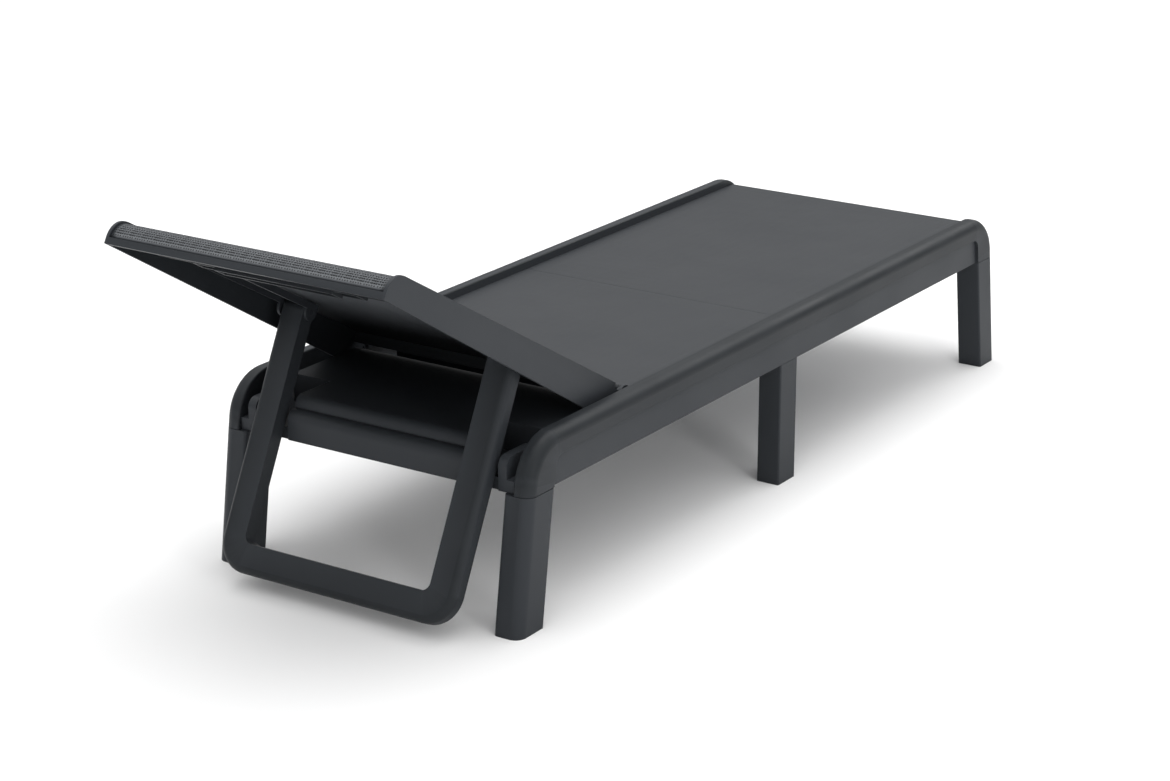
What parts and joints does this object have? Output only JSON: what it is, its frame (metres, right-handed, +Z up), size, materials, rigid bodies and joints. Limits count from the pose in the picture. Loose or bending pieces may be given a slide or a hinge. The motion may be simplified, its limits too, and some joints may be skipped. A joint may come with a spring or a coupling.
{
  "type": "reclining sun lounger",
  "caption": "Low moulded sun lounger on legs, with a hinged backrest raised on a U-shaped prop.",
  "frame": {"origin": "on the floor, on the centre line, midway between the raised backrest's head end and the toes of the foot legs", "axes": "+X to the foot end, +Y to the left of someone lying face up, +Z up"},
  "size_m": [1.8326, 0.572, 0.5998],
  "materials": {
    "frame_plastic": "satin moulded polypropylene, anthracite",
    "woven_grain_plastic": "matt moulded polypropylene with a fine woven grain, anthracite",
    "smooth_plastic": "plain matt moulded polypropylene, anthracite",
    "pin_plastic": "moulded glass-filled plastic, anthracite"
  },
  "bodies": {
    "frame": {"rail_left": "frame_plastic", "rail_right": "frame_plastic", "apron_left": "frame_plastic", "apron_right": "frame_plastic", "leg_head_left": "frame_plastic", "leg_head_right": "frame_plastic", "leg_middle_left": "frame_plastic", "leg_middle_right": "frame_plastic", "leg_foot_left": "frame_plastic", "leg_foot_right": "frame_plastic", "beam_head": "frame_plastic", "beam_foot": "frame_plastic", "channel_hinge": "frame_plastic", "channel_middle": "frame_plastic", "tray_head": "smooth_plastic", "seat_panel_head": "woven_grain_plastic", "seat_panel_foot": "woven_grain_plastic", "hinge_pin_left": "pin_plastic", "hinge_pin_right": "pin_plastic"},
    "backrest": {"backrest_frame": "frame_plastic", "backrest_panel": "woven_grain_plastic", "backrest_brace": "frame_plastic", "prop_pin_left": "pin_plastic", "prop_pin_right": "pin_plastic"},
    "prop": {"prop_frame": "frame_plastic"}
  },
  "joints": [
    {"name": "backrest_recline", "type": "hinge", "parent": "frame", "child": "backrest", "pos_m": [-0.32767, 0, 0.275], "axis": [0, 1, 0], "range_deg": [-29.7, 0]},
    {"name": "prop_swing", "type": "hinge", "parent": "backrest", "child": "prop", "pos_m": [-0.56207, 0, 0.39488], "axis": [0, 1, 0], "range_deg": [0, 84]}
  ],
  "couplings": [
    {"joint": "prop_swing", "follows": "backrest_recline", "ratio": -2.8}
  ]
}
